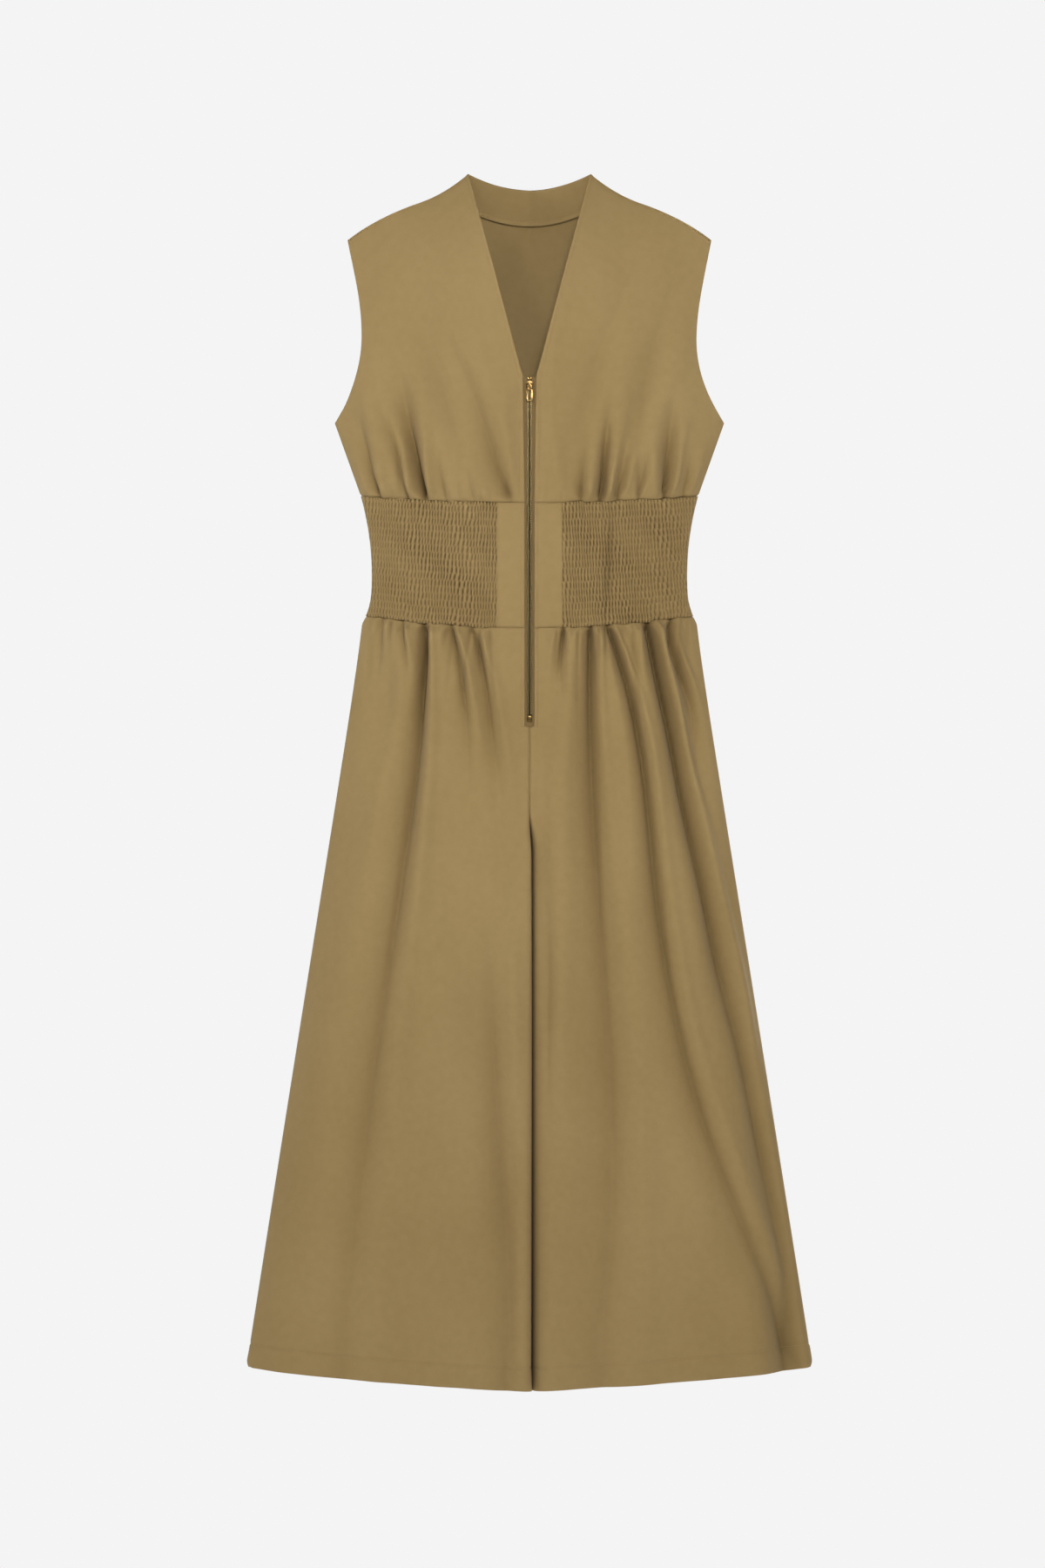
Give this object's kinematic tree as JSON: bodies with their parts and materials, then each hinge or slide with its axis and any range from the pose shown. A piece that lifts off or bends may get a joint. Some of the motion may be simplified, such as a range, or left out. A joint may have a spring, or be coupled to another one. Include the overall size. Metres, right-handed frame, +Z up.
{
  "type": "wide-leg jumpsuit",
  "caption": "Sleeveless wide-leg jumpsuit with a V-neck grown-on collar, metal front zip with sliding pull, shirred waist band and stitched hems.",
  "frame": {"origin": "middle of the neck base, between the shoulders, where a hanger's stem stands", "axes": "+Z up, the front faces -Y, +X is the wearer's left"},
  "size_m": [0.65, 0.1166, 1.3925],
  "materials": {
    "khaki_cotton": "matte",
    "facing_cotton": "matte",
    "zip_tape_cloth": "matte",
    "elastic_thread": "matte",
    "antique_brass": "satin"
  },
  "bodies": {
    "garment": {"bodice_front_left": "khaki_cotton", "neck_facing_front_left": "facing_cotton", "armhole_facing_front_left": "facing_cotton", "bodice_front_right": "khaki_cotton", "neck_facing_front_right": "facing_cotton", "armhole_facing_front_right": "facing_cotton", "bodice_back": "khaki_cotton", "neck_facing_back": "facing_cotton", "armhole_facing_back_left": "facing_cotton", "armhole_facing_back_right": "facing_cotton", "waist_band_front_left": "khaki_cotton", "shirring_elastic_front_left": "elastic_thread", "waist_band_front_right": "khaki_cotton", "shirring_elastic_front_right": "elastic_thread", "waist_band_back": "khaki_cotton", "shirring_elastic_back": "elastic_thread", "leg_front_left": "khaki_cotton", "leg_back_left": "khaki_cotton", "leg_front_right": "khaki_cotton", "leg_back_right": "khaki_cotton", "zip_tape_left": "zip_tape_cloth", "zip_teeth_left": "antique_brass", "zip_top_stop_left": "antique_brass", "zip_tape_right": "zip_tape_cloth", "zip_teeth_right": "antique_brass", "zip_top_stop_right": "antique_brass", "zip_bottom_stop": "antique_brass"},
    "slider": {"zip_slider": "antique_brass"},
    "pull_tab": {"zip_pull_tab": "antique_brass"}
  },
  "joints": [
    {"name": "zip_slide", "type": "slide", "parent": "garment", "child": "slider", "axis": [0, 0, -1], "range_m": [0, 0.3702]},
    {"name": "pull_tab_swing", "type": "hinge", "parent": "slider", "child": "pull_tab", "pos_m": [0, -0.05205, -0.1961], "axis": [-1, 0, 0], "range_deg": [0, 170]}
  ]
}
